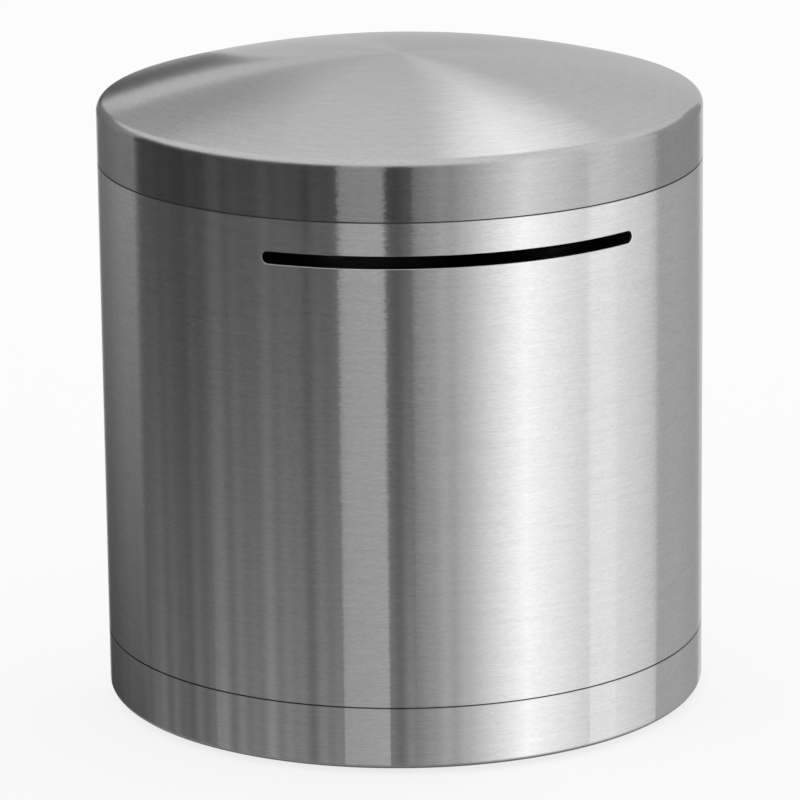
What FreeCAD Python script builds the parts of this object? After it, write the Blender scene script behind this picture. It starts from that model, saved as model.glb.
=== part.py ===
import FreeCAD, Part
import math
import os
import Sketcher

# Round steel money box: a tube with a long slot, a domed slip lid and a pressed base cup.
# The pad's underside is z = 0, the round axis is Z, and the slot faces -Y.

doc = FreeCAD.newDocument("money_box")
sheet = doc.addObject("Spreadsheet::Sheet", "Sizes")

DRIVING_SIZES = {
    # Outer form
    "outer_diameter": 120.0,
    "base_band_height": 12.6,
    "tube_height": 95.9,
    "lid_skirt_height": 11.6,
    "dome_rise": 8.8,
    "shoulder_radius": 2.0,
    "base_edge_radius": 1.65,
    # Sheet metal
    "sheet_thickness": 0.8,
    "seam_round": 0.3,
    # Slot: its length is measured along the outside of the tube
    "slot_length": 77.2,
    "slot_height": 2.4,
    "slot_drop": 7.7,
    # Neck that the lid slips over, and the ring in its groove
    "neck_wall": 0.7,
    "neck_clearance": 0.15,
    "neck_slot_gap": 0.9,
    "neck_top_gap": 1.6,
    "ring_section": 2.0,
    "ring_lid_clearance": 0.05,
    "ring_floor_gap": 0.05,
    "ring_side_gap": 0.2,
    # Band behind the lower seam
    "band_wall": 0.7,
    "band_gap": 0.05,
    "band_overlap": 9.0,
    "band_floor_gap": 0.3,
    # Recess under the base, its pad, and the mat above it
    "stand_width": 6.0,
    "recess_depth": 2.2,
    "pressed_bend": 0.6,
    "pad_stand": 0.8,
    "pad_gap": 0.4,
    "pad_edge": 0.4,
    "mat_thickness": 1.5,
    "mat_gap": 0.4,
    "mat_edge": 0.3,
}
for row, (alias, value) in enumerate(DRIVING_SIZES.items(), start=1):
    sheet.set(f"A{row}", alias)
    sheet.set(f"B{row}", str(value))
    sheet.setAlias(f"B{row}", alias)
doc.recompute()

# Radii and levels that several pieces share, written as expressions on the sheet
OUTER = "(Sizes.outer_diameter / 2)"
INNER = f"({OUTER} - Sizes.sheet_thickness)"
RECESS = f"({OUTER} - Sizes.stand_width)"
BASE_UNDER = "Sizes.pad_stand"
PANEL_UNDER = f"({BASE_UNDER} + Sizes.recess_depth)"
PANEL_TOP = f"({PANEL_UNDER} + Sizes.sheet_thickness)"
LOWER_SEAM = f"({BASE_UNDER} + Sizes.base_band_height)"
UPPER_SEAM = f"({LOWER_SEAM} + Sizes.tube_height)"
SLOT_CENTRE = f"({UPPER_SEAM} - Sizes.slot_drop)"
LID_CORNER = f"({UPPER_SEAM} + Sizes.lid_skirt_height)"
LID_TOP = f"({LID_CORNER} + Sizes.dome_rise)"
NECK_TOP = f"({LID_CORNER} - Sizes.shoulder_radius - Sizes.neck_top_gap)"
RING_CENTRE = f"(({UPPER_SEAM} + {NECK_TOP}) / 2)"
RING_RADIUS = f"({INNER} - Sizes.ring_lid_clearance - Sizes.ring_section / 2)"

# Limits that keep a rounding inside its own sheet
EDGE_SHARE = 0.45
LEAST_BEND = 0.2
TIGHT_STEP_SHARE = 0.28
WIDE_STEP_SHARE = 0.66
SEAM_ROUND = f"min(Sizes.seam_round; {EDGE_SHARE} * Sizes.sheet_thickness)"

# Turn about Z from +X to the front, -Y, and the least share of its sheet that the slot must remove
FRONT_TURN = 270
SLOT_SHARE = 0.95


def new_body(label):
    body = doc.addObject("PartDesign::Body", label)
    body.Label = label
    return body


def new_sketch(body, name, plane_role):
    """A sketch on one of the body's own origin planes."""
    sketch = body.newObject("Sketcher::SketchObject", name)
    plane = next(item for item in body.Origin.OriginFeatures if item.Role == plane_role)
    sketch.AttachmentSupport = [(plane, "")]
    sketch.MapMode = "FlatFace"
    return sketch


def bind(sketch, name, constraint, expression):
    """Add a dimension and tie it to the sheet."""
    index = sketch.addConstraint(constraint)
    sketch.renameConstraint(index, name)
    sketch.setExpression(f"Constraints.{name}", expression)


def place_start(sketch, edge, name, radius, height):
    """Hold the start of a sketch edge at a radius and a height; a radius of None is on the axis."""
    drawn = sketch.getPoint(edge, 1)
    if radius is None:
        sketch.addConstraint(Sketcher.Constraint("PointOnObject", edge, 1, -2))
    else:
        bind(sketch, f"{name}_radius", Sketcher.Constraint("DistanceX", -1, 1, edge, 1, drawn.x), radius)
    bind(sketch, f"{name}_height", Sketcher.Constraint("DistanceY", -1, 1, edge, 1, drawn.y), height)


def draw_section(body, name, corners):
    """A closed outline in the XZ plane, one (name, radius, height) per corner.

    Gives the sketch, and the number of the edge that starts at each named corner.
    """
    sketch = new_sketch(body, name, "XZ_Plane")
    count = len(corners)
    ring = [FreeCAD.Vector(2 + math.cos(turn), 2 + math.sin(turn), 0)
            for turn in (2 * math.pi * i / count for i in range(count))]
    for i in range(count):
        sketch.addGeometry(Part.LineSegment(ring[i], ring[(i + 1) % count]))
    for i in range(count):
        sketch.addConstraint(Sketcher.Constraint("Coincident", i, 2, (i + 1) % count, 1))
    for i, (corner, radius, height) in enumerate(corners):
        place_start(sketch, i, corner, radius, height)
    doc.recompute()
    return sketch, {corner[0]: i for i, corner in enumerate(corners)}


def revolve(body, name, sketch, kind="Revolution", angle=None):
    """Turn a section about the round axis, whole or by an angle from the sheet."""
    feature = body.newObject(f"PartDesign::{kind}", name)
    feature.Profile = sketch
    feature.ReferenceAxis = (sketch, ["V_Axis"])
    if angle:
        feature.setExpression("Angle", angle)
    doc.recompute()
    return feature


def round_corners(body, name, feature, sketch, edges, radius):
    """Round the circles that the starts of these sketch edges sweep."""
    points = [sketch.getPoint(edge, 1) for edge in edges]
    found = []
    for number, edge in enumerate(feature.Shape.Edges, start=1):
        if edge.Degenerated or edge.Curve.TypeId != "Part::GeomCircle":
            continue
        spot = (edge.Curve.Radius, edge.Curve.Center.z)
        if any(math.dist(spot, (point.x, point.y)) < 1e-4 for point in points):
            found.append(f"Edge{number}")
    fillet = body.newObject("PartDesign::Fillet", name)
    fillet.Base = (feature, found)
    fillet.setExpression("Radius", radius)
    doc.recompute()
    return fillet


def make_lid_shell():
    """The drawn cap: a straight skirt, a rounded shoulder and a low dome, all in one sheet."""
    body = new_body("lid_shell")
    sketch = new_sketch(body, "cap_section", "XZ_Plane")
    radius = sheet.outer_diameter / 2
    rise = sheet.dome_rise
    wall = sheet.sheet_thickness
    seam = sheet.pad_stand + sheet.base_band_height + sheet.tube_height
    corner = seam + sheet.lid_skirt_height
    dome_radius = (radius ** 2 + rise ** 2) / (2 * rise)
    centre = FreeCAD.Vector(0, corner + rise - dome_radius, 0)
    normal = FreeCAD.Vector(0, 0, 1)
    edge_turn = math.acos(radius / dome_radius)
    outer_arc = Part.ArcOfCircle(Part.Circle(centre, normal, dome_radius), edge_turn, math.pi / 2)
    inner_turn = math.acos((radius - wall) / (dome_radius - wall))
    inner_arc = Part.ArcOfCircle(Part.Circle(centre, normal, dome_radius - wall), inner_turn, math.pi / 2)
    top = FreeCAD.Vector(0, corner + rise, 0)
    under_top = FreeCAD.Vector(0, corner + rise - wall, 0)
    rim_outer = FreeCAD.Vector(radius, seam, 0)
    rim_inner = FreeCAD.Vector(radius - wall, seam, 0)
    rim, skirt, dome, axis, roof, bore = range(6)
    sketch.addGeometry(Part.LineSegment(rim_inner, rim_outer))
    sketch.addGeometry(Part.LineSegment(rim_outer, outer_arc.StartPoint))
    sketch.addGeometry(outer_arc)
    sketch.addGeometry(Part.LineSegment(top, under_top))
    sketch.addGeometry(inner_arc)
    sketch.addGeometry(Part.LineSegment(inner_arc.StartPoint, rim_inner))
    joins = [(rim, 2, skirt, 1), (skirt, 2, dome, 1), (dome, 2, axis, 1),
             (axis, 2, roof, 2), (roof, 1, bore, 1), (bore, 2, rim, 1), (dome, 3, roof, 3)]
    for first, first_end, second, second_end in joins:
        sketch.addConstraint(Sketcher.Constraint("Coincident", first, first_end, second, second_end))
    sketch.addConstraint(Sketcher.Constraint("Horizontal", rim))
    sketch.addConstraint(Sketcher.Constraint("Vertical", skirt))
    sketch.addConstraint(Sketcher.Constraint("Vertical", bore))
    for edge, end in ((dome, 3), (dome, 2), (roof, 2)):
        sketch.addConstraint(Sketcher.Constraint("PointOnObject", edge, end, -2))
    place_start(sketch, skirt, "rim", OUTER, UPPER_SEAM)
    bind(sketch, "wall", Sketcher.Constraint("DistanceX", rim, 1, rim, 2, wall), "Sizes.sheet_thickness")
    bind(sketch, "corner", Sketcher.Constraint("DistanceY", -1, 1, dome, 1, corner), LID_CORNER)
    bind(sketch, "top", Sketcher.Constraint("DistanceY", -1, 1, dome, 2, top.y), LID_TOP)
    bind(sketch, "roof", Sketcher.Constraint("DistanceY", axis, 2, axis, 1, wall), "Sizes.sheet_thickness")
    doc.recompute()
    cap = revolve(body, "cap", sketch)
    shoulder = round_corners(body, "shoulder", cap, sketch, [dome], "Sizes.shoulder_radius")
    inside_radius = f"max(Sizes.shoulder_radius - Sizes.sheet_thickness; {LEAST_BEND})"
    inside = round_corners(body, "inside_shoulder", shoulder, sketch, [bore], inside_radius)
    round_corners(body, "rim_round", inside, sketch, [skirt], SEAM_ROUND)
    return body


def make_body_shell():
    """The rolled tube, with the long round-ended slot near its top."""
    body = new_body("body_shell")
    wall, corner = draw_section(body, "wall_section", [
        ("bottom_inner", INNER, LOWER_SEAM),
        ("bottom_outer", OUTER, LOWER_SEAM),
        ("top_outer", OUTER, UPPER_SEAM),
        ("top_inner", INNER, UPPER_SEAM),
    ])
    tube = revolve(body, "tube", wall)
    rims = [corner["bottom_outer"], corner["top_outer"]]
    whole = round_corners(body, "rim_rounds", tube, wall, rims, SEAM_ROUND)

    # The slot starts on +X; its straight part is turned about the axis, its ends are round holes
    slot_turn = "(360 * (Sizes.slot_length - Sizes.slot_height) / (pi * Sizes.outer_diameter))"
    low = f"({SLOT_CENTRE} - Sizes.slot_height / 2)"
    high = f"({SLOT_CENTRE} + Sizes.slot_height / 2)"
    inside = f"({INNER} - Sizes.sheet_thickness)"
    outside = f"({OUTER} + Sizes.sheet_thickness)"
    cut, _ = draw_section(body, "slot_section", [
        ("low_inner", inside, low),
        ("low_outer", outside, low),
        ("high_outer", outside, high),
        ("high_inner", inside, high),
    ])
    revolve(body, "slot", cut, kind="Groove", angle=slot_turn)
    end_sketch = new_sketch(body, "slot_end_circle", "YZ_Plane")
    end_sketch.addGeometry(Part.Circle(FreeCAD.Vector(0, 1, 0), FreeCAD.Vector(0, 0, 1), 1))
    end_sketch.addConstraint(Sketcher.Constraint("PointOnObject", 0, 3, -2))
    bind(end_sketch, "centre", Sketcher.Constraint("DistanceY", -1, 1, 0, 3, 1.0), SLOT_CENTRE)
    bind(end_sketch, "width", Sketcher.Constraint("Diameter", 0, 1.0), "Sizes.slot_height")
    doc.recompute()
    slot_end = body.newObject("PartDesign::Pocket", "slot_end")
    slot_end.Profile = end_sketch
    slot_end.Reversed = True
    slot_end.setExpression("Length", "Sizes.outer_diameter")
    doc.recompute()
    ends = body.newObject("PartDesign::PolarPattern", "slot_ends")
    ends.Originals = [slot_end]
    ends.Axis = (end_sketch, ["V_Axis"])
    ends.Occurrences = 2
    ends.setExpression("Angle", slot_turn)
    body.Tip = ends
    front = FreeCAD.Rotation(FreeCAD.Vector(0, 0, 1), FRONT_TURN)
    body.Placement = FreeCAD.Placement(FreeCAD.Vector(), front)
    body.setExpression("Placement.Rotation.Angle", f"{FRONT_TURN} - {slot_turn} / 2")
    doc.recompute()
    slot_volume = sheet.slot_length * sheet.slot_height * sheet.sheet_thickness
    if whole.Shape.Volume - body.Shape.Volume < SLOT_SHARE * slot_volume:
        raise RuntimeError("the slot is not cut through the wall")
    return body


def make_neck_ring():
    """The band in the tube's mouth, with a rolled groove where the lid slips over it."""
    body = new_body("neck_ring")
    outer = f"({INNER} - Sizes.neck_clearance)"
    inner = f"({outer} - Sizes.neck_wall)"
    groove = f"({RING_RADIUS} - Sizes.ring_section / 2 - Sizes.ring_floor_gap)"
    bead = f"({groove} - Sizes.neck_wall)"
    bottom = f"({SLOT_CENTRE} + Sizes.slot_height / 2 + Sizes.neck_slot_gap)"
    groove_low = f"({RING_CENTRE} - Sizes.ring_section / 2 - Sizes.ring_side_gap)"
    groove_high = f"({RING_CENTRE} + Sizes.ring_section / 2 + Sizes.ring_side_gap)"
    section, corner = draw_section(body, "band_section", [
        ("bottom_inner", inner, bottom),
        ("bottom_outer", outer, bottom),
        ("groove_low_lip", outer, groove_low),
        ("groove_low_floor", groove, groove_low),
        ("groove_high_floor", groove, groove_high),
        ("groove_high_lip", outer, groove_high),
        ("top_outer", outer, NECK_TOP),
        ("top_inner", inner, NECK_TOP),
        ("bead_high_root", inner, f"({groove_high} + Sizes.neck_wall)"),
        ("bead_high", bead, f"({groove_high} + Sizes.neck_wall)"),
        ("bead_low", bead, f"({groove_low} - Sizes.neck_wall)"),
        ("bead_low_root", inner, f"({groove_low} - Sizes.neck_wall)"),
    ])
    band = revolve(body, "band", section)
    bends = [corner["top_outer"], corner["bead_high"], corner["bead_low"]]
    round_corners(body, "bends", band, section, bends, f"{EDGE_SHARE} * Sizes.neck_wall")
    return body


def make_grip_ring():
    """The soft round ring in the neck's groove that holds the lid."""
    ring = doc.addObject("Part::Torus", "grip_ring")
    ring.Label = "grip_ring"
    ring.setExpression("Radius1", RING_RADIUS)
    ring.setExpression("Radius2", "Sizes.ring_section / 2")
    ring.setExpression("Placement.Base.z", RING_CENTRE)
    doc.recompute()
    return ring


def make_base_cup():
    """The pressed cup under the tube, its panel raised to leave a recess for the pad."""
    body = new_body("base_cup")
    wall = "Sizes.sheet_thickness"
    section, corner = draw_section(body, "cup_section", [
        ("panel_under_middle", None, PANEL_UNDER),
        ("panel_under_edge", RECESS, PANEL_UNDER),
        ("stand_inner", RECESS, BASE_UNDER),
        ("stand_outer", OUTER, BASE_UNDER),
        ("rim_outer", OUTER, LOWER_SEAM),
        ("rim_inner", INNER, LOWER_SEAM),
        ("trough_outer", INNER, f"({BASE_UNDER} + {wall})"),
        ("trough_inner", f"({RECESS} + {wall})", f"({BASE_UNDER} + {wall})"),
        ("panel_top_edge", f"({RECESS} + {wall})", PANEL_TOP),
        ("panel_top_middle", None, PANEL_TOP),
    ])
    cup = revolve(body, "cup", section)
    inside = f"max(Sizes.base_edge_radius - Sizes.sheet_thickness; {LEAST_BEND})"
    tight = f"min(Sizes.pressed_bend; {TIGHT_STEP_SHARE} * Sizes.recess_depth)"
    wide = f"min(Sizes.pressed_bend + Sizes.sheet_thickness; {WIDE_STEP_SHARE} * Sizes.recess_depth)"
    bends = [
        ("base_edge", ["stand_outer"], "Sizes.base_edge_radius"),
        ("inside_edge", ["trough_outer"], inside),
        ("step_wide_bends", ["stand_inner", "panel_top_edge"], wide),
        ("step_tight_bends", ["panel_under_edge", "trough_inner"], tight),
        ("rim_round", ["rim_outer"], SEAM_ROUND),
    ]
    feature = cup
    for name, corners, radius in bends:
        feature = round_corners(body, name, feature, section, [corner[item] for item in corners], radius)
    return body


def make_base_joint_band():
    """The band behind the seam of tube and base cup."""
    body = new_body("base_joint_band")
    outer = f"({INNER} - Sizes.band_gap)"
    inner = f"({outer} - Sizes.band_wall)"
    bottom = f"({BASE_UNDER} + Sizes.base_edge_radius + Sizes.band_floor_gap)"
    top = f"({LOWER_SEAM} + Sizes.band_overlap)"
    section, corner = draw_section(body, "band_section", [
        ("bottom_inner", inner, bottom),
        ("bottom_outer", outer, bottom),
        ("top_outer", outer, top),
        ("top_inner", inner, top),
    ])
    band = revolve(body, "band", section)
    round_corners(body, "top_round", band, section, [corner["top_inner"]], f"{EDGE_SHARE} * Sizes.band_wall")
    return body


def make_disc(label, radius, bottom, top, rounded_corner, edge_radius):
    """A round soft disc with one softened edge."""
    body = new_body(label)
    section, corner = draw_section(body, "disc_section", [
        ("bottom_middle", None, bottom),
        ("bottom_edge", radius, bottom),
        ("top_edge", radius, top),
        ("top_middle", None, top),
    ])
    disc = revolve(body, "disc", section)
    round_corners(body, "soft_edge", disc, section, [corner[rounded_corner]], edge_radius)
    return body


def make_base_pad():
    """The pad that fills the recess and carries the box."""
    radius = f"({RECESS} - Sizes.pressed_bend - Sizes.pad_gap)"
    return make_disc("base_pad", radius, "0", PANEL_UNDER, "bottom_edge", "Sizes.pad_edge")


def make_coin_mat():
    """The mat on the raised panel, under the coins."""
    radius = f"({RECESS} - Sizes.pressed_bend - Sizes.mat_gap)"
    top = f"({PANEL_TOP} + Sizes.mat_thickness)"
    return make_disc("coin_mat", radius, PANEL_TOP, top, "top_edge", "Sizes.mat_edge")


pieces = [
    make_lid_shell(),
    make_body_shell(),
    make_neck_ring(),
    make_grip_ring(),
    make_base_cup(),
    make_base_joint_band(),
    make_base_pad(),
    make_coin_mat(),
]
doc.recompute()

failed = [item.Name for item in doc.Objects if {"Invalid", "Error"} & set(item.State)]
if failed:
    raise RuntimeError(f"features that failed: {failed}")
for piece in pieces:
    if piece.Shape.isNull() or not piece.Shape.isValid() or len(piece.Shape.Solids) != 1:
        raise RuntimeError(f"{piece.Label} is not one valid solid")

os.makedirs("parts", exist_ok=True)
for piece in pieces:
    piece.Shape.exportStep(f"parts/{piece.Label}.step")
    print(piece.Label, f"volume {piece.Shape.Volume:.1f} mm3")
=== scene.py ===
import math
import bpy
from mathutils import Matrix, Vector


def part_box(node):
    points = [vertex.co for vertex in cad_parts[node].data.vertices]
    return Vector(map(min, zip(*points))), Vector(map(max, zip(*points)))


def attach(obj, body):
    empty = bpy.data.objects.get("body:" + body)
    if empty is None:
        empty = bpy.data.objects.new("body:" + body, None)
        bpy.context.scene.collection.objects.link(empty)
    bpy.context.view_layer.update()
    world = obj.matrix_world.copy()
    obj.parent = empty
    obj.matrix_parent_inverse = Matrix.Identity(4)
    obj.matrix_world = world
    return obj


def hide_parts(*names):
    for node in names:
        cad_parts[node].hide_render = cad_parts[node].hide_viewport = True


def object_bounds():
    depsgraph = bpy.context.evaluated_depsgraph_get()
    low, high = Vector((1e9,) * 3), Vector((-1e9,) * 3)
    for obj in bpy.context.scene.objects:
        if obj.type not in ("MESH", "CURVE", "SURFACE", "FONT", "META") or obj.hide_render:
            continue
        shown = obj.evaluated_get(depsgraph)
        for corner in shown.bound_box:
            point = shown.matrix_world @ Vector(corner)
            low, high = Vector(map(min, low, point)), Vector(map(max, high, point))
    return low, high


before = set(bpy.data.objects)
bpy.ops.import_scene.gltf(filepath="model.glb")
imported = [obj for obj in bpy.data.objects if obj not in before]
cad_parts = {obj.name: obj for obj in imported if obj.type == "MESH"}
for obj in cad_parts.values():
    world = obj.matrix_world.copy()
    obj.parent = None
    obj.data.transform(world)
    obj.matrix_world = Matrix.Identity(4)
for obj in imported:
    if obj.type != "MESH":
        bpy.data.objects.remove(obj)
cad_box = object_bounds()

# Round brushed-steel money box. Lengths are metres, the round axis is Z and the slot faces -Y.

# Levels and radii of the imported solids
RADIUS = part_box("lid_shell")[1].x
LOWER_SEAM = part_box("body_shell")[0].z
UPPER_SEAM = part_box("body_shell")[1].z
LID_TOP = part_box("lid_shell")[1].z
BASE_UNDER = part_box("base_cup")[0].z
FRONT = -math.pi / 2

# Sheet metal, and how its edges and bends are rounded
SHEET = 0.0008
SEAM_ROUND = 0.0003
SEAM_CRISP = 0.0001
CUT_ROUND = 0.00012
TIGHT_BEND = 0.0002

# Lid
SKIRT_HEIGHT = 0.0116
SHOULDER = 0.002

# Slot in the tube: its length is measured along the outside
SLOT_LENGTH = 0.0772
SLOT_HEIGHT = 0.0024
SLOT_DROP = 0.0077
SLOT_EDGE = 0.0002
SLOT_MARGIN = 0.0042
SLOT_CENTRE = UPPER_SEAM - SLOT_DROP
SLOT_STRAIGHT = (SLOT_LENGTH - SLOT_HEIGHT) / 2

# Base cup
STAND_WIDTH = 0.006
RECESS_DEPTH = 0.0022
BASE_EDGE = 0.00165
PRESSED_BEND = 0.0006

# Neck and its groove
NECK_WALL = 0.0007
GROOVE_SIDE_GAP = 0.0002
GROOVE_FLOOR_GAP = 0.00005

# Fine line where the silicone ring's mould parted: its height, and its width as the sine of its turn
MOULD_LINE = 0.00003
MOULD_LINE_WIDTH = 0.08

# Edges of the soft discs
PAD_TOP_EDGE = 0.00015
PAD_BOTTOM_EDGE = 0.0004
MAT_TOP_EDGE = 0.0003
MAT_BOTTOM_EDGE = 0.0001

# Mesh fineness
TURN_STEPS = 384
DOME_STEPS = 40
BEND_STEPS = 6
RING_STEPS = 72
LONGEST_RUN = 0.004
LONGEST_DISC_RUN = 0.002
SAME_POINT = 1e-7
ON_AXIS = 1e-9

# The tube's mesh: steps along the slot, at each of its ends and round the rest, the patch of the wall round
# the slot, and how far out in it the rings round the slot lie, as shares of the way
SLOT_STEPS = 60
SLOT_END_STEPS = 6
WALL_STEPS = 240
PATCH_COLUMNS = SLOT_STEPS + 2 * SLOT_END_STEPS
PATCH_ROWS = 2 * SLOT_END_STEPS
SLOT_RINGS = (0.75, 0.5, 0.28, 0.12, 0.03)

# Steel: tone and roughness, how far the blur is drawn out across the lines, and which way the lines run
# Lid, wall and base are one steel: the lid's tone is set lower as painted shade, the wall's and base's higher
# as painted light
LID_SHADED_TONE = 0.52
LID_ROUGH = 0.2
WALL_LIT_TONE = 0.78
WALL_ROUGH = 0.24
INNER_TONE = 0.56
INNER_ROUGH = 0.4
BRUSHED = 1.0
MILLED = 0.5
ROUND_THE_AXIS = 0.25

# Steel mirrors less than full light at a grazing look
EDGE_TINT = 0.65

# Brush marks: length and pitch of the lines, and how far they change the tone, the roughness and the normal
FINE_LINES = (0.0012, 0.0002)
BROAD_LINES = (0.008, 0.0008)
SCRATCH_LINES = (0.012, 0.00022)
SWAY_LINES = (0.001, 0.00018)
LEAST_RADIUS = 0.0005
CLOUDS = 28.0
FINE_GRAIN = 0.1
BROAD_GRAIN = 0.03
FINE_ROUGH = 0.015
CLOUD_ROUGH = 0.012
SWAY = 0.018

# Ranges of a noise that are spread over the values wanted
WIDE_SPAN = (0.25, 0.75)
NARROW_SPAN = (0.3, 0.7)
SCRATCH_SPAN = (0.7, 0.78)

# Painted shade on the steel, in the seam gaps, along the foot and on the slot's cut faces: how far it reaches
# from the seams and above the foot, and how much of the tone is left
SEAM_SHADE_REACH = 0.00018
SEAM_SHADE_TONE = 0.25
FOOT_SHADE_REACH = 0.0012
FOOT_SHADE_TONE = 0.2
CUT_SHADE_TONE = 0.15

# Depths in the sheet where its outside ends, and where a cut face starts and ends
OUTSIDE_END = (0.4 * SHEET, 0.6 * SHEET)
CUT_START = (0.25 * SHEET, 0.35 * SHEET)
CUT_END = (0.9 * SHEET, 0.98 * SHEET)

# Silicone: clouds to the metre, tones, roughness, and how much light goes how far into it
SILICONE_CLOUDS = 220.0
SILICONE_TONES = (0.62, 0.72)
SILICONE_ROUGH = (0.38, 0.5)
SILICONE_GLOW = 0.25
SILICONE_DEPTH = 0.0008

# Foam: cells and clouds to the metre, tones, roughness, and the cells' relief
FOAM_CELLS = 1600.0
FOAM_CLOUDS = 90.0
FOAM_SPAN = (0.0, 0.7)
FOAM_TONES = (0.03, 0.055)
FOAM_SHADES = (0.85, 1.15)
FOAM_ROUGH = (0.95, 0.7)
FOAM_RELIEF = 0.00012
FOAM_RELIEF_SHARE = 0.6

# Felt: swirls, fibres and clumps to the metre, how far a swirl bends the fibres, tones and relief
FELT_SWIRLS = 180.0
FELT_FIBRES = 1400.0
FELT_CLUMPS = 120.0
FELT_BEND = 0.004
FELT_TONES = (0.035, 0.1)
FELT_SHADES = (0.75, 1.25)
FELT_ROUGH = 0.95
FELT_SHEEN = 0.25
FELT_RELIEF = 0.00025
FELT_RELIEF_SHARE = 0.7

# The photograph's view: turn from the slot, height above the horizon, and roll
VIEW_TURN = math.radians(-10.72)
VIEW_RISE = math.radians(15.23)
VIEW_ROLL = math.radians(-0.664)
VIEW_DISTANCE = 1.0984
VIEW_SIDE = -0.00057
VIEW_HEIGHT = 0.0586
LENS = 246.2
SENSOR = 36.0

# Floor and background: the floor's own tone, how much of it shows plain white, and the background as light
WHITE = (1, 1, 1, 1)
FLOOR_REACH = 5.0
FLOOR_GAP = 0.0001
FLOOR_COLOUR = (0.9, 0.9, 0.9, 1)
FLOOR_WHITE = 0.8
AMBIENT = 0.95

# Soft lamp behind the box: bearing from the camera in degrees, rise, distance, size and brightness
LAMP_BEARING = 168.5
LAMP_RISE = math.radians(46)
LAMP_DISTANCE = 0.8
LAMP_WIDTH = 0.11
LAMP_HEIGHT = 0.25
LAMP_GLOW = 1.25

# Kinds of card by their painted glow: how light a card is at the foot and at the top, and how streaky
EVEN_GLOW = (1.0, 1.0, 0.0)
STREAKY_GLOW = (1.0, 1.0, 0.12)
SHADED = (0.4, 1.4, 0.1)
FADING_GLOW = (1.5, 0.3, 0.3)
STREAK_WAVES = (0.45, 1.15, 1.9)

# Cards that stand round the box and lean away from it, out of the camera's sight, as round a shiny thing in
# a studio. The steel mirrors them, and the white floor and background between, behind and above them. Each
# has the turns of the wall, in degrees from the camera, that mirror its two edges, the place of its foot and
# of its top as distance from the axis and height, its tone at either edge, and its kind of painted glow.
CARD_STEPS = 48
CARD_FOOT = (0.0601, 0.0)
CARD_TOP = (0.1, 0.15)
CARDS = {
    "left_flag": ((-82, -58), CARD_FOOT, CARD_TOP, (0.24, 0.3), SHADED),
    "dark_flag": ((-58, -38), CARD_FOOT, CARD_TOP, (0.11, 0.11), FADING_GLOW),
    "near_flag": ((-38, -11.5), CARD_FOOT, CARD_TOP, (0.16, 0.16), FADING_GLOW),
    "strip": ((-11.5, -3), CARD_FOOT, CARD_TOP, (0.38, 0.42), EVEN_GLOW),
    "front_flag": ((-3, 2), CARD_FOOT, CARD_TOP, (0.15, 0.15), FADING_GLOW),
    "soft_box_edge": ((2, 12), CARD_FOOT, CARD_TOP, (0.25, 0.55), STREAKY_GLOW),
    "soft_box_rise": ((12, 23), CARD_FOOT, CARD_TOP, (0.55, 1.22), EVEN_GLOW),
    "soft_box_fall": ((23, 36.5), CARD_FOOT, CARD_TOP, (1.22, 0.8), EVEN_GLOW),
    "right_card": ((43, 55), CARD_FOOT, CARD_TOP, (0.9, 0.7), EVEN_GLOW),
    "right_flag": ((55, 78), CARD_FOOT, CARD_TOP, (0.46, 0.55), EVEN_GLOW),
    "back_flag": ((-89, -80), (0.31, 0.11), (0.31, 0.172), (0.1, 0.1), EVEN_GLOW),
    "high_flag": ((-88, -78), (0.5, 0.28), (0.5, 0.46), (0.55, 0.55), EVEN_GLOW),
}


# Outlines. A path is a list of (radius, height, normal outwards, normal up), with the metal on its right.

def arc(centre, radius, start, end, steps, side=1):
    """A bend round a centre, from one angle to another. Side is -1 where the metal lies outside the bend."""
    path = []
    for step in range(steps + 1):
        turn = start + (end - start) * step / steps
        across, up = math.cos(turn), math.sin(turn)
        path.append((centre[0] + radius * across, centre[1] + radius * up, side * across, side * up))
    return path


def rounded(corners, closed):
    """Straight runs between corners (radius, height, bend), each corner rounded by its bend."""
    count = len(corners)
    path = []
    for i, (r, z, bend) in enumerate(corners):
        here = Vector((r, z))
        before = (here - Vector(corners[i - 1][:2])).normalized()
        after = (Vector(corners[(i + 1) % count][:2]) - here).normalized()
        if not closed and i == 0:
            path.append((r, z, -after.y, after.x))
            continue
        if not closed and i == count - 1:
            path.append((r, z, -before.y, before.x))
            continue
        turn = math.atan2(before.x * after.y - before.y * after.x, before.dot(after))
        side = -1 if turn > 0 else 1
        first_normal = Vector((-before.y, before.x))
        centre = here - before * bend * math.tan(abs(turn) / 2) - side * first_normal * bend
        start = math.atan2(side * first_normal.y, side * first_normal.x)
        path += arc(centre, bend, start, start + turn, BEND_STEPS, side)
    return path


def joined(*paths):
    """Paths end to end, without the doubled points where they meet."""
    whole = []
    for point in (point for path in paths for point in path):
        if not whole or math.dist(point[:2], whole[-1][:2]) > SAME_POINT:
            whole.append(point)
    return whole


def split_runs(path, closed, longest=LONGEST_RUN):
    """Add points along the long straight runs, so that the mesh has even faces."""
    split = []
    ends = path[1:] + path[:1] if closed else path[1:]
    for here, there in zip(path, ends):
        split.append(here)
        steps = math.ceil(math.dist(here[:2], there[:2]) / longest)
        for step in range(1, steps):
            share = step / steps
            split.append(tuple(a + (b - a) * share for a, b in zip(here, there)))
    return split if closed else split + path[-1:]


# Meshes

def new_object(name, data):
    """An object in the scene."""
    thing = bpy.data.objects.new(name, data)
    bpy.context.scene.collection.objects.link(thing)
    return thing


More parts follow.
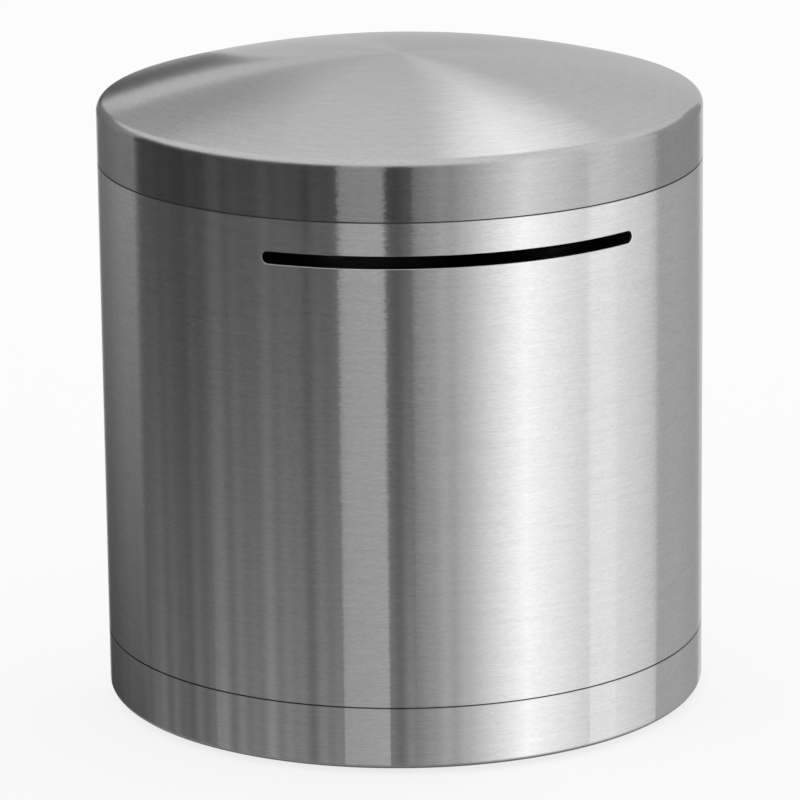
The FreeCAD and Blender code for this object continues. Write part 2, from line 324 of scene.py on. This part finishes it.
class Skin:
    """Vertices with their true normals, and the faces between them."""

    def __init__(self):
        self.points = []
        self.normals = []
        self.faces = []

    def vertex(self, point, normal):
        self.points.append(tuple(point))
        self.normals.append(tuple(normal))
        return len(self.points) - 1

    def face(self, *corners):
        """One face; corners that fall together, as at a pole, count once."""
        self.faces.append(list(dict.fromkeys(corners)))

    def make(self, name):
        """The mesh object, without vertices that no face uses."""
        used = sorted({corner for face in self.faces for corner in face})
        place = {old: new for new, old in enumerate(used)}
        mesh = bpy.data.meshes.new(name)
        mesh.from_pydata([self.points[i] for i in used], [],
                         [[place[corner] for corner in face] for face in self.faces])
        mesh.shade_smooth()
        mesh.normals_split_custom_set_from_vertices([self.normals[i] for i in used])
        return new_object(name, mesh)


def turn_path(skin, path, closed, angles, left_out=frozenset()):
    """Turn a path about Z. Cells (row, column) in left_out stay open. Gives the rows of vertices."""
    ways = [(math.cos(angle), math.sin(angle)) for angle in angles]
    rows = []
    for r, z, across, up in path:
        if r < ON_AXIS:
            rows.append([skin.vertex((0, 0, z), (0, 0, math.copysign(1, up)))] * len(ways))
            continue
        rows.append([skin.vertex((r * x, r * y, z), (across * x, across * y, up)) for x, y in ways])
    for i in range(len(rows) if closed else len(rows) - 1):
        low = rows[(i + 1) % len(rows)]
        for j in range(len(ways)):
            k = (j + 1) % len(ways)
            if (i, j) not in left_out:
                skin.face(rows[i][j], low[j], low[k], rows[i][k])
    return rows


def turned_piece(name, path, closed):
    """A piece made by one full turn of a path."""
    skin = Skin()
    turn_path(skin, path, closed, [2 * math.pi * step / TURN_STEPS for step in range(TURN_STEPS)])
    return skin.make(name)


# Pieces

def make_lid():
    """The drawn cap: dome, shoulder and skirt in one sheet."""
    rise = LID_TOP - UPPER_SEAM - SKIRT_HEIGHT
    dome = (RADIUS ** 2 + rise ** 2) / (2 * rise)
    dome_centre = (0, LID_TOP - dome)
    across = RADIUS - SHOULDER
    up = math.sqrt((dome - SHOULDER) ** 2 - across ** 2)
    lean = math.atan2(up, across)
    bend_centre = (across, dome_centre[1] + up)
    top = math.pi / 2
    inner = RADIUS - SHEET
    rim = rounded([
        (RADIUS, bend_centre[1], 0),
        (RADIUS, UPPER_SEAM, SEAM_ROUND),
        (inner, UPPER_SEAM, CUT_ROUND),
        (inner, bend_centre[1], 0),
    ], closed=False)
    path = joined(
        arc(dome_centre, dome, top, lean, DOME_STEPS),
        arc(bend_centre, SHOULDER, lean, 0, 2 * BEND_STEPS),
        split_runs(rim, closed=False),
        arc(bend_centre, SHOULDER - SHEET, 0, lean, 2 * BEND_STEPS, side=-1),
        arc(dome_centre, dome - SHEET, lean, top, DOME_STEPS, side=-1),
    )
    return turned_piece("lid_cap", path, closed=False)


def wall_columns():
    """Columns of the tube's wall, as lengths along the outside from the middle of the slot."""
    reach = SLOT_STRAIGHT + SLOT_MARGIN
    runs = [
        (-reach, -SLOT_STRAIGHT, SLOT_END_STEPS),
        (-SLOT_STRAIGHT, SLOT_STRAIGHT, SLOT_STEPS),
        (SLOT_STRAIGHT, reach, SLOT_END_STEPS),
        (reach, 2 * math.pi * RADIUS - reach, WALL_STEPS),
    ]
    return [start + (end - start) * step / steps for start, end, steps in runs for step in range(steps)]


def slot_way(columns):
    """The way round the slot, clockwise from its top left. Each stop has its place on the slot's middle line,
    the way outwards from there, and the row and column of the patch that it meets."""
    first, last = SLOT_END_STEPS, PATCH_COLUMNS - SLOT_END_STEPS
    right = ([(0, j) for j in range(last, PATCH_COLUMNS)]
             + [(i, PATCH_COLUMNS) for i in range(PATCH_ROWS)]
             + [(PATCH_ROWS, j) for j in range(PATCH_COLUMNS, last, -1)])
    left = ([(PATCH_ROWS, j) for j in range(first, 0, -1)]
            + [(i, 0) for i in range(PATCH_ROWS, 0, -1)]
            + [(0, j) for j in range(first)])
    way = [(columns[j], (0, 1), 0, j) for j in range(first, last)]
    for step, (i, j) in enumerate(right):
        turn = math.pi / 2 - math.pi * step / len(right)
        way.append((SLOT_STRAIGHT, (math.cos(turn), math.sin(turn)), i, j))
    way += [(columns[j], (0, -1), PATCH_ROWS, j) for j in range(last, first, -1)]
    for step, (i, j) in enumerate(left):
        turn = -math.pi / 2 - math.pi * step / len(left)
        way.append((-SLOT_STRAIGHT, (math.cos(turn), math.sin(turn)), i, j))
    return way


def wall_vertex(skin, along, up, depth, normal):
    """A vertex of the tube's wall, placed from the slot's middle. The normal is (along, up, outwards)."""
    angle = FRONT + along / RADIUS
    out = Vector((math.cos(angle), math.sin(angle), 0))
    side = Vector((-math.sin(angle), math.cos(angle), 0))
    point = out * (RADIUS - depth) + Vector((0, 0, SLOT_CENTRE + up))
    return skin.vertex(point, side * normal[0] + Vector((0, 0, normal[1])) + out * normal[2])


def slot_rings(skin, way, columns, slot_rows):
    """Rings of vertices round the slot: from the wall's outside, over the rounded cut, to its inside."""
    half = SLOT_HEIGHT / 2

    def face_ring(share, depth, outwards):
        """A ring on one face of the wall: share 0 is the rounded edge, 1 the wall's own rows."""
        ring = []
        for along, (aside, above), i, j in way:
            near = (along + aside * (half + SLOT_EDGE), above * (half + SLOT_EDGE))
            far = (columns[j], slot_rows[i] - SLOT_CENTRE)
            spot = [a + (b - a) * share for a, b in zip(near, far)]
            ring.append(wall_vertex(skin, *spot, depth, (0, 0, outwards)))
        return ring

    def edge_ring(turn, middle):
        """A ring on a rounded edge, whose bend lies at the depth called middle."""
        across, out = math.sin(turn), math.cos(turn)
        gap = half + SLOT_EDGE * (1 - across)
        depth = middle - SLOT_EDGE * out
        ring = []
        for along, (aside, above), _, _ in way:
            normal = (-aside * across, -above * across, out)
            ring.append(wall_vertex(skin, along + aside * gap, above * gap, depth, normal))
        return ring

    bend = [math.pi / 2 * step / BEND_STEPS for step in range(BEND_STEPS + 1)]
    rings = [face_ring(share, 0, 1) for share in SLOT_RINGS]
    rings += [edge_ring(turn, SLOT_EDGE) for turn in bend]
    rings += [edge_ring(math.pi / 2 + turn, SHEET - SLOT_EDGE) for turn in bend]
    rings += [face_ring(share, SHEET, -1) for share in reversed(SLOT_RINGS)]
    return rings


def make_tube():
    """The rolled tube, with its round-ended slot worked into the mesh of the wall."""
    inner = RADIUS - SHEET
    columns = wall_columns()
    angles = [FRONT + column / RADIUS for column in columns]

    # Both faces of the wall have their rows at the same heights
    slot_rows = [SLOT_CENTRE + SLOT_MARGIN * (1 - step / SLOT_END_STEPS) for step in range(PATCH_ROWS + 1)]
    above = split_runs([(UPPER_SEAM - SEAM_CRISP,), (slot_rows[0],)], closed=False)[1:-1]
    below = split_runs([(slot_rows[-1],), (LOWER_SEAM + SEAM_ROUND,)], closed=False)[1:-1]
    heights = [row[0] for row in above] + slot_rows + [row[0] for row in below]
    outer_face = [(RADIUS, z, 1, 0) for z in heights]
    inner_face = [(inner, z, -1, 0) for z in reversed(heights)]
    bends = rounded([
        (RADIUS, UPPER_SEAM, SEAM_CRISP),
        (RADIUS, LOWER_SEAM, SEAM_ROUND),
        (inner, LOWER_SEAM, CUT_ROUND),
        (inner, UPPER_SEAM, CUT_ROUND),
    ], closed=True)
    per_bend = BEND_STEPS + 1
    path = bends[:per_bend] + outer_face + bends[per_bend:3 * per_bend] + inner_face + bends[3 * per_bend:]

    # The patch round the slot stays open on both faces
    first_outer = per_bend + len(above)
    first_inner = 3 * per_bend + 2 * len(heights) - 1 - len(above)
    patch = [(i, j) for i in range(PATCH_ROWS) for j in range(PATCH_COLUMNS)]
    left_out = {(first_outer + i, j) for i, j in patch} | {(first_inner - 1 - i, j) for i, j in patch}
    skin = Skin()
    rows = turn_path(skin, path, True, angles, left_out)

    # Rings round the slot fill the patch
    way = slot_way(columns)
    rings = [[rows[first_outer + i][j] for _, _, i, j in way]]
    rings += slot_rings(skin, way, columns, slot_rows)
    rings.append([rows[first_inner - i][j] for _, _, i, j in way])
    for ring, next_ring in zip(rings, rings[1:]):
        for k in range(len(way)):
            n = (k + 1) % len(way)
            skin.face(ring[k], next_ring[k], next_ring[n], ring[n])
    return skin.make("body_tube")


def make_base():
    """The pressed cup with its raised panel."""
    inner = RADIUS - SHEET
    recess = RADIUS - STAND_WIDTH
    panel_under = BASE_UNDER + RECESS_DEPTH
    floor = BASE_UNDER + SHEET
    wide = PRESSED_BEND + SHEET
    path = rounded([
        (0, panel_under + SHEET, 0),
        (recess + SHEET, panel_under + SHEET, wide),
        (recess + SHEET, floor, PRESSED_BEND),
        (inner, floor, BASE_EDGE - SHEET),
        (inner, LOWER_SEAM, CUT_ROUND),
        (RADIUS, LOWER_SEAM, SEAM_CRISP),
        (RADIUS, BASE_UNDER, BASE_EDGE),
        (recess, BASE_UNDER, wide),
        (recess, panel_under, PRESSED_BEND),
        (0, panel_under, 0),
    ], closed=False)
    return turned_piece("base_cap", split_runs(joined(path), closed=False), closed=False)


def make_neck():
    """The band in the tube's mouth, with its rolled groove."""
    low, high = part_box("neck_ring")
    ring_low, ring_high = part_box("grip_ring")
    outer = high.x
    inner = outer - NECK_WALL
    groove = ring_high.x - (ring_high.z - ring_low.z) - GROOVE_FLOOR_GAP
    bead = groove - NECK_WALL
    groove_low = ring_low.z - GROOVE_SIDE_GAP
    groove_high = ring_high.z + GROOVE_SIDE_GAP
    wide = TIGHT_BEND + NECK_WALL
    path = rounded([
        (outer, high.z, TIGHT_BEND),
        (outer, groove_high, wide),
        (groove, groove_high, TIGHT_BEND),
        (groove, groove_low, TIGHT_BEND),
        (outer, groove_low, wide),
        (outer, low.z, CUT_ROUND),
        (inner, low.z, CUT_ROUND),
        (inner, groove_low - NECK_WALL, TIGHT_BEND),
        (bead, groove_low - NECK_WALL, wide),
        (bead, groove_high + NECK_WALL, wide),
        (inner, groove_high + NECK_WALL, TIGHT_BEND),
        (inner, high.z, TIGHT_BEND),
    ], closed=True)
    return turned_piece("neck_collar", split_runs(path, closed=True), closed=True)


def make_joint_band():
    """The strip behind the lower seam."""
    low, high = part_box("base_joint_band")
    inner = high.x - NECK_WALL
    path = rounded([
        (high.x, high.z, CUT_ROUND),
        (high.x, low.z, CUT_ROUND),
        (inner, low.z, CUT_ROUND),
        (inner, high.z, TIGHT_BEND),
    ], closed=True)
    return turned_piece("joint_strip", split_runs(path, closed=True), closed=True)


def make_seal():
    """The moulded silicone ring, with the fine line where its mould parted."""
    low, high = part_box("grip_ring")
    section = (high.z - low.z) / 2
    centre = (high.x - section, (high.z + low.z) / 2)
    path = []
    for step in range(RING_STEPS):
        turn = math.pi / 2 - 2 * math.pi * step / RING_STEPS
        across, up = math.cos(turn), math.sin(turn)
        line = math.exp(-(math.sin(turn - math.pi / 4) / MOULD_LINE_WIDTH) ** 2)
        reach = section - MOULD_LINE * (1 - line)
        path.append((centre[0] + reach * across, centre[1] + reach * up, across, up))
    return turned_piece("seal_ring", path, closed=True)


def make_disc(name, node, top_edge, bottom_edge):
    """A soft disc in the place of its solid."""
    low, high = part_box(node)
    path = rounded([
        (0, high.z, 0),
        (high.x, high.z, top_edge),
        (high.x, low.z, bottom_edge),
        (0, low.z, 0),
    ], closed=False)
    return turned_piece(name, split_runs(joined(path), closed=False, longest=LONGEST_DISC_RUN), closed=False)


# Materials

class Tree:
    """Short calls for a tree of nodes."""

    def __init__(self, tree):
        self.tree = tree

    def give(self, socket, value):
        """Link a socket to another, or set its value."""
        if isinstance(value, bpy.types.NodeSocket):
            self.tree.links.new(value, socket)
        else:
            socket.default_value = value

    def node(self, kind, values=None, **settings):
        node = self.tree.nodes.new(kind)
        for name, value in settings.items():
            setattr(node, name, value)
        for name, value in (values or {}).items():
            self.give(node.inputs[name], value)
        return node

    def math(self, operation, *values):
        node = self.node("ShaderNodeMath", operation=operation)
        for socket, value in zip(node.inputs, values):
            self.give(socket, value)
        return node.outputs[0]

    def vector(self, operation, *values):
        node = self.node("ShaderNodeVectorMath", operation=operation)
        for socket, value in zip(node.inputs, values):
            self.give(socket, value)
        return node.outputs["Vector"]

    def scaled(self, vector, factor):
        node = self.node("ShaderNodeVectorMath", {"Scale": factor, 0: vector}, operation="SCALE")
        return node.outputs["Vector"]

    def place(self):
        """Where a point lies on its piece, in metres."""
        return self.node("ShaderNodeTexCoord").outputs["Object"]

    def split(self, vector):
        return self.node("ShaderNodeSeparateXYZ", {"Vector": vector}).outputs

    def noise(self, vector, detail=2.0, roughness=0.5):
        values = {"Vector": vector, "Scale": 1.0, "Detail": detail, "Roughness": roughness}
        return self.node("ShaderNodeTexNoise", values).outputs["Fac"]

    def spread(self, value, low, high, to_low, to_high):
        """The range from low to high spread over another, and held at its ends."""
        values = {"Value": value, "From Min": low, "From Max": high, "To Min": to_low, "To Max": to_high}
        return self.node("ShaderNodeMapRange", values).outputs["Result"]

    def relief(self, height, depth, share):
        """A normal that shows the height as bumps."""
        values = {"Strength": share, "Distance": depth, "Height": height}
        return self.node("ShaderNodeBump", values).outputs[0]


def new_material(name):
    """A material, its tree and its shader."""
    material = bpy.data.materials.new(name)
    material.use_nodes = True
    return material, Tree(material.node_tree), material.node_tree.nodes["Principled BSDF"]


def from_axis(tree, x, y):
    """The distance from the round axis."""
    return tree.math("SQRT", tree.math("ADD", tree.math("MULTIPLY", x, x), tree.math("MULTIPLY", y, y)))


def brush_place(tree, length, pitch):
    """Coordinates stretched along the brushing: slow round the axis, quick along the outline."""
    x, y, z = tree.split(tree.place())
    radius = from_axis(tree, x, y)
    safe = tree.math("MAXIMUM", radius, LEAST_RADIUS)
    turns = RADIUS / length
    around_x = tree.math("MULTIPLY", tree.math("DIVIDE", x, safe), turns)
    around_y = tree.math("MULTIPLY", tree.math("DIVIDE", y, safe), turns)
    along = tree.math("DIVIDE", tree.math("SUBTRACT", radius, z), pitch)
    return tree.node("ShaderNodeCombineXYZ", {"X": around_x, "Y": around_y, "Z": along}).outputs[0]


def painted_shade(tree, place):
    """Painted shade: 1 on open steel, and low in both seams, along the foot and on the slot's cut faces,
    where shade falls.
    """
    x, y, z = tree.split(place)
    depth = tree.math("SUBTRACT", RADIUS, from_axis(tree, x, y))
    outside = tree.spread(depth, *OUTSIDE_END, 1.0, 0.0)
    # Painted shade along the foot, where the base meets the floor
    light = tree.spread(z, BASE_UNDER + FOOT_SHADE_REACH / 2, BASE_UNDER + FOOT_SHADE_REACH, FOOT_SHADE_TONE, 1.0)
    # Painted shade in the gap of each seam, on the outside of the sheet
    for seam in (LOWER_SEAM, UPPER_SEAM):
        away = tree.math("ABSOLUTE", tree.math("SUBTRACT", z, seam))
        near_seam = tree.spread(away, SEAM_SHADE_REACH / 2, SEAM_SHADE_REACH, 1 - SEAM_SHADE_TONE, 0.0)
        dark = tree.math("MULTIPLY", outside, near_seam)
        light = tree.math("MULTIPLY", light, tree.math("SUBTRACT", 1.0, dark))
    # Painted shade on the cut faces round the slot, inside its narrow opening
    between_faces = tree.math("MULTIPLY", tree.spread(depth, *CUT_START, 0.0, 1.0),
                              tree.spread(depth, *CUT_END, 1.0, 0.0))
    away = tree.math("ABSOLUTE", tree.math("SUBTRACT", z, SLOT_CENTRE))
    near_slot = tree.spread(away, SLOT_HEIGHT, SLOT_MARGIN, 1 - CUT_SHADE_TONE, 0.0)
    dark = tree.math("MULTIPLY", between_faces, near_slot)
    return tree.math("MULTIPLY", light, tree.math("SUBTRACT", 1.0, dark))


def brushed_steel(name, tone, roughness, anisotropy=BRUSHED):
    """Steel brushed round its axis: blurred across the lines, sharp along them."""
    material, tree, shader = new_material(name)
    place = tree.place()
    fine = tree.noise(brush_place(tree, *FINE_LINES), detail=3.0, roughness=0.6)
    broad = tree.noise(brush_place(tree, *BROAD_LINES))
    scratches = tree.noise(brush_place(tree, *SCRATCH_LINES), detail=1.0)
    cloud = tree.noise(tree.scaled(place, CLOUDS), detail=3.0)

    shade = tree.math("MULTIPLY", tree.spread(fine, *WIDE_SPAN, 1 - FINE_GRAIN, 1 + FINE_GRAIN),
                      tree.spread(broad, *NARROW_SPAN, 1 - BROAD_GRAIN, 1 + BROAD_GRAIN))
    shade = tree.math("MULTIPLY", shade, tree.spread(scratches, *SCRATCH_SPAN, 1.0, 1 - FINE_GRAIN))
    # Painted shade in the seams, along the foot and on the slot's cut faces
    shade = tree.math("MULTIPLY", shade, painted_shade(tree, place))
    tree.give(shader.inputs["Base Color"], tree.math("MULTIPLY", shade, tone))
    rough = tree.math("ADD", roughness, tree.spread(fine, *WIDE_SPAN, -FINE_ROUGH, FINE_ROUGH))
    rough = tree.math("ADD", rough, tree.spread(cloud, *NARROW_SPAN, -CLOUD_ROUGH, CLOUD_ROUGH))
    tree.give(shader.inputs["Roughness"], rough)

    normal = tree.node("ShaderNodeNewGeometry").outputs["Normal"]
    along = tree.node("ShaderNodeTangent", direction_type="RADIAL", axis="Z").outputs[0]
    sway = tree.noise(brush_place(tree, *SWAY_LINES))
    lean = tree.scaled(along, tree.spread(sway, *WIDE_SPAN, -SWAY, SWAY))
    tree.give(shader.inputs["Normal"], tree.vector("NORMALIZE", tree.vector("ADD", normal, lean)))
    shader.inputs["Metallic"].default_value = 1.0
    shader.inputs["Specular Tint"].default_value = (EDGE_TINT, EDGE_TINT, EDGE_TINT, 1)
    shader.inputs["Anisotropic"].default_value = anisotropy
    shader.inputs["Anisotropic Rotation"].default_value = ROUND_THE_AXIS
    return material


def silicone():
    """Milky moulded silicone, a little cloudy."""
    material, tree, shader = new_material("silicone")
    cloud = tree.noise(tree.scaled(tree.place(), SILICONE_CLOUDS), detail=3.0)
    tree.give(shader.inputs["Base Color"], tree.spread(cloud, *NARROW_SPAN, *SILICONE_TONES))
    tree.give(shader.inputs["Roughness"], tree.spread(cloud, *NARROW_SPAN, *SILICONE_ROUGH))
    shader.inputs["Subsurface Weight"].default_value = SILICONE_GLOW
    shader.inputs["Subsurface Radius"].default_value = (SILICONE_DEPTH, SILICONE_DEPTH, SILICONE_DEPTH)
    return material


def foam():
    """Closed-cell foam rubber: dark, with fine burst cells."""
    material, tree, shader = new_material("foam_rubber")
    place = tree.place()
    cells = tree.node("ShaderNodeTexVoronoi", {"Vector": place, "Scale": FOAM_CELLS}).outputs["Distance"]
    cloud = tree.noise(tree.scaled(place, FOAM_CLOUDS), detail=3.0)
    shade = tree.math("MULTIPLY", tree.spread(cells, *FOAM_SPAN, *FOAM_TONES),
                      tree.spread(cloud, *NARROW_SPAN, *FOAM_SHADES))
    tree.give(shader.inputs["Base Color"], shade)
    tree.give(shader.inputs["Roughness"], tree.spread(cells, *FOAM_SPAN, *FOAM_ROUGH))
    tree.give(shader.inputs["Normal"], tree.relief(cells, FOAM_RELIEF, FOAM_RELIEF_SHARE))
    return material


def felt():
    """Pressed felt: matted fibres in dark grey, with a soft sheen."""
    material, tree, shader = new_material("felt")
    place = tree.place()
    swirls = {"Vector": place, "Scale": FELT_SWIRLS, "Detail": 3.0}
    swirl = tree.node("ShaderNodeTexNoise", swirls).outputs["Color"]
    bent = tree.vector("ADD", place, tree.scaled(swirl, FELT_BEND))
    matted = {"Vector": bent, "Scale": FELT_FIBRES, "Detail": 4.0, "Roughness": 0.7}
    fibres = tree.node("ShaderNodeTexNoise", matted).outputs["Fac"]
    clumps = tree.noise(tree.scaled(place, FELT_CLUMPS), detail=4.0)
    shade = tree.math("MULTIPLY", tree.spread(fibres, *NARROW_SPAN, *FELT_TONES),
                      tree.spread(clumps, *NARROW_SPAN, *FELT_SHADES))
    tree.give(shader.inputs["Base Color"], shade)
    shader.inputs["Roughness"].default_value = FELT_ROUGH
    shader.inputs["Sheen Weight"].default_value = FELT_SHEEN
    tree.give(shader.inputs["Normal"], tree.relief(fibres, FELT_RELIEF, FELT_RELIEF_SHARE))
    return material


# Studio

def shows_white(tree):
    """1 for the rays that show the white background: the camera's, and those off or through the object."""
    path = tree.node("ShaderNodeLightPath").outputs
    seen = tree.math("MAXIMUM", path["Is Camera Ray"], path["Is Glossy Ray"])
    return tree.math("MAXIMUM", seen, path["Is Transmission Ray"])


def plain_surface(name):
    """An empty material for the studio, and its tree."""
    material = bpy.data.materials.new(name)
    material.use_nodes = True
    material.node_tree.nodes.clear()
    return material, Tree(material.node_tree)


def make_floor():
    """A pale floor that shows white, with the box's soft shadow."""
    mesh = bpy.data.meshes.new("floor")
    corners = [(-FLOOR_REACH, -FLOOR_REACH, 0), (FLOOR_REACH, -FLOOR_REACH, 0),
               (FLOOR_REACH, FLOOR_REACH, 0), (-FLOOR_REACH, FLOOR_REACH, 0)]
    mesh.from_pydata(corners, [], [(0, 1, 2, 3)])
    floor = new_object("floor", mesh)
    floor.location.z = cad_box[0].z - FLOOR_GAP
    material, tree = plain_surface("floor")
    pale = tree.node("ShaderNodeBsdfDiffuse", {"Color": FLOOR_COLOUR}).outputs[0]
    white = tree.node("ShaderNodeEmission", {"Color": WHITE, "Strength": 1.0}).outputs[0]
    share = tree.math("MULTIPLY", shows_white(tree), FLOOR_WHITE)
    mixed = tree.node("ShaderNodeMixShader", {0: share, 1: pale, 2: white}).outputs[0]
    tree.node("ShaderNodeOutputMaterial", {"Surface": mixed})
    mesh.materials.append(material)


def make_background():
    """White all round; as light on the box it is a little lower, because the lamp adds to it."""
    world = bpy.data.worlds.new("background")
    bpy.context.scene.world = world
    world.use_nodes = True
    world.node_tree.nodes.clear()
    tree = Tree(world.node_tree)
    strength = tree.spread(shows_white(tree), 0.0, 1.0, AMBIENT, 1.0)
    white = tree.node("ShaderNodeBackground", {"Color": WHITE, "Strength": strength}).outputs[0]
    tree.node("ShaderNodeOutputWorld", {"Surface": white})


def bearing_way(bearing):
    """The level direction at a bearing, which counts from the camera and grows to its right."""
    turn = math.radians(bearing) + VIEW_TURN
    return Vector((math.sin(turn), -math.cos(turn), 0))


def mirrored_spot(turn, distance):
    """The spot at a distance from the axis that the wall, at a turn from its front, mirrors to the camera."""
    out = bearing_way(turn)
    spot = out * RADIUS
    look = (bearing_way(0) * VIEW_DISTANCE * math.cos(VIEW_RISE) - spot).normalized()
    way = 2 * out.dot(look) * out - look
    ahead = spot.dot(way)
    return spot + way * (math.sqrt(ahead ** 2 + distance ** 2 - RADIUS ** 2) - ahead)


def streak(turn, strength):
    """How much lighter or darker a streaky card is where a turn of the wall mirrors it."""
    return 1 + strength * sum(math.sin(wave * turn) for wave in STREAK_WAVES) / len(STREAK_WAVES)


def card_surface():
    """The cards' material: each glows with the tone stored along it, painted light as if evenly lit."""
    material, tree = plain_surface("card")
    tone = tree.node("ShaderNodeAttribute", attribute_name="tone").outputs["Fac"]
    shine = tree.node("ShaderNodeEmission", {"Color": WHITE, "Strength": tone}).outputs[0]
    tree.node("ShaderNodeOutputMaterial", {"Surface": shine})
    return material


def make_card(name, turns, foot, top, tones, glow_kind, material):
    """A card bent so that its edges stand upright in the wall's mirror image. Only the steel shows it."""
    foot_light, top_light, streaks = glow_kind
    skin = Skin()
    rows = []
    values = []
    for (distance, height), light in ((foot, foot_light), (top, top_light)):
        row = []
        for step in range(CARD_STEPS + 1):
            share = step / CARD_STEPS
            turn = turns[0] + (turns[1] - turns[0]) * share
            spot = mirrored_spot(turn, distance)
            row.append(skin.vertex(spot + Vector((0, 0, height)), -spot.normalized()))
            values.append(light * streak(turn, streaks) * (tones[0] + (tones[1] - tones[0]) * share))
        rows.append(row)
    for j in range(CARD_STEPS):
        skin.face(rows[0][j + 1], rows[0][j], rows[1][j], rows[1][j + 1])
    card = skin.make(name)
    card.visible_camera = False
    card.visible_diffuse = False
    card.visible_shadow = False
    tone = card.data.attributes.new("tone", "FLOAT", "POINT")
    tone.data.foreach_set("value", values)
    card.data.materials.append(material)


def make_cards():
    """All the cards, with one material."""
    material = card_surface()
    for name, (turns, foot, top, tones, glow_kind) in CARDS.items():
        make_card(name, turns, foot, top, tones, glow_kind, material)


def make_lamp():
    """A soft lamp behind the box, which faces its middle and makes the bright fan on the lid."""
    data = bpy.data.lights.new("back_lamp", "AREA")
    data.shape = "RECTANGLE"
    data.size = LAMP_WIDTH
    data.size_y = LAMP_HEIGHT
    data.energy = LAMP_GLOW * math.pi * LAMP_WIDTH * LAMP_HEIGHT
    lamp = new_object("back_lamp", data)
    back = bearing_way(LAMP_BEARING) * math.cos(LAMP_RISE) + Vector((0, 0, math.sin(LAMP_RISE)))
    place = Matrix.Translation(back * LAMP_DISTANCE + Vector((0, 0, VIEW_HEIGHT)))
    lamp.matrix_world = place @ back.to_track_quat("Z", "Y").to_matrix().to_4x4()
    lamp.visible_camera = False


def make_camera():
    """The photograph's view: a long lens from a little above, turned left of the slot."""
    back = bearing_way(0) * math.cos(VIEW_RISE) + Vector((0, 0, math.sin(VIEW_RISE)))
    target = bearing_way(90) * VIEW_SIDE + Vector((0, 0, VIEW_HEIGHT))
    data = bpy.data.cameras.new("camera")
    data.lens = LENS
    data.sensor_width = SENSOR
    camera = new_object("camera", data)
    look = (-back).to_track_quat("-Z", "Y").to_matrix() @ Matrix.Rotation(VIEW_ROLL, 3, "Z")
    camera.matrix_world = Matrix.Translation(target + back * VIEW_DISTANCE) @ look.to_4x4()
    bpy.context.scene.camera = camera


def dress(piece, body, node, material):
    """Give a piece its material and its body, and hide the solid that it stands for."""
    piece.data.materials.append(material)
    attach(piece, body)
    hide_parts(node)


lid_steel = brushed_steel("lid_steel", LID_SHADED_TONE, LID_ROUGH)
body_steel = brushed_steel("body_steel", WALL_LIT_TONE, WALL_ROUGH)
base_steel = brushed_steel("base_steel", WALL_LIT_TONE, WALL_ROUGH)
inner_steel = brushed_steel("inner_steel", INNER_TONE, INNER_ROUGH, anisotropy=MILLED)

dress(make_lid(), "lid", "lid_shell", lid_steel)
dress(make_tube(), "box", "body_shell", body_steel)
dress(make_base(), "box", "base_cup", base_steel)
dress(make_neck(), "box", "neck_ring", inner_steel)
dress(make_joint_band(), "box", "base_joint_band", inner_steel)
dress(make_seal(), "grip", "grip_ring", silicone())

pad = make_disc("foam_pad", "base_pad", PAD_TOP_EDGE, PAD_BOTTOM_EDGE)
dress(pad, "box", "base_pad", foam())

mat = make_disc("felt_mat", "coin_mat", MAT_TOP_EDGE, MAT_BOTTOM_EDGE)
dress(mat, "box", "coin_mat", felt())

make_floor()
make_background()
make_cards()
make_lamp()
make_camera()
bpy.context.scene.view_settings.view_transform = "Standard"
